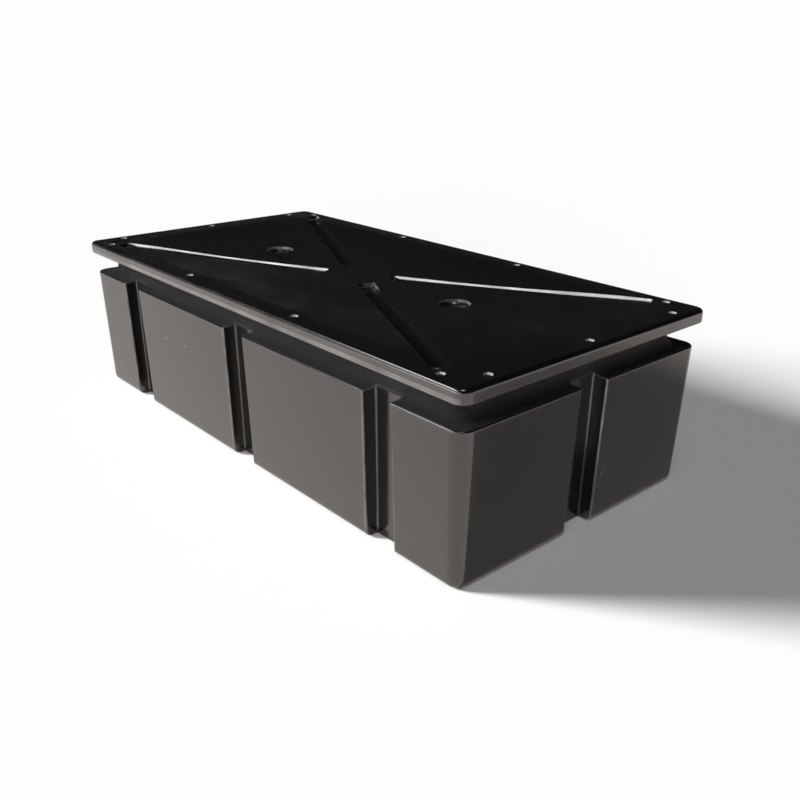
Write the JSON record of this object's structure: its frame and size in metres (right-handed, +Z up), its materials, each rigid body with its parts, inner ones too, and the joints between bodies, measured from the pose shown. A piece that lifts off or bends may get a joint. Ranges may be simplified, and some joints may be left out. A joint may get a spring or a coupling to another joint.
{
  "type": "dock float drum",
  "caption": "Rectangular moulded dock float: dished deck flange with bolt holes, round recesses and diagonal grooves, a channel under the flange and a drafted hull with upright grooves.",
  "frame": {"origin": "centre of the drum's underside", "axes": "+X along the drum's length, +Y across its width, +Z up to the deck"},
  "size_m": [1.22, 0.615, 0.338],
  "materials": {
    "float_drum": "satin"
  },
  "bodies": {
    "root": {"float_drum": "float_drum"}
  },
  "joints": []
}
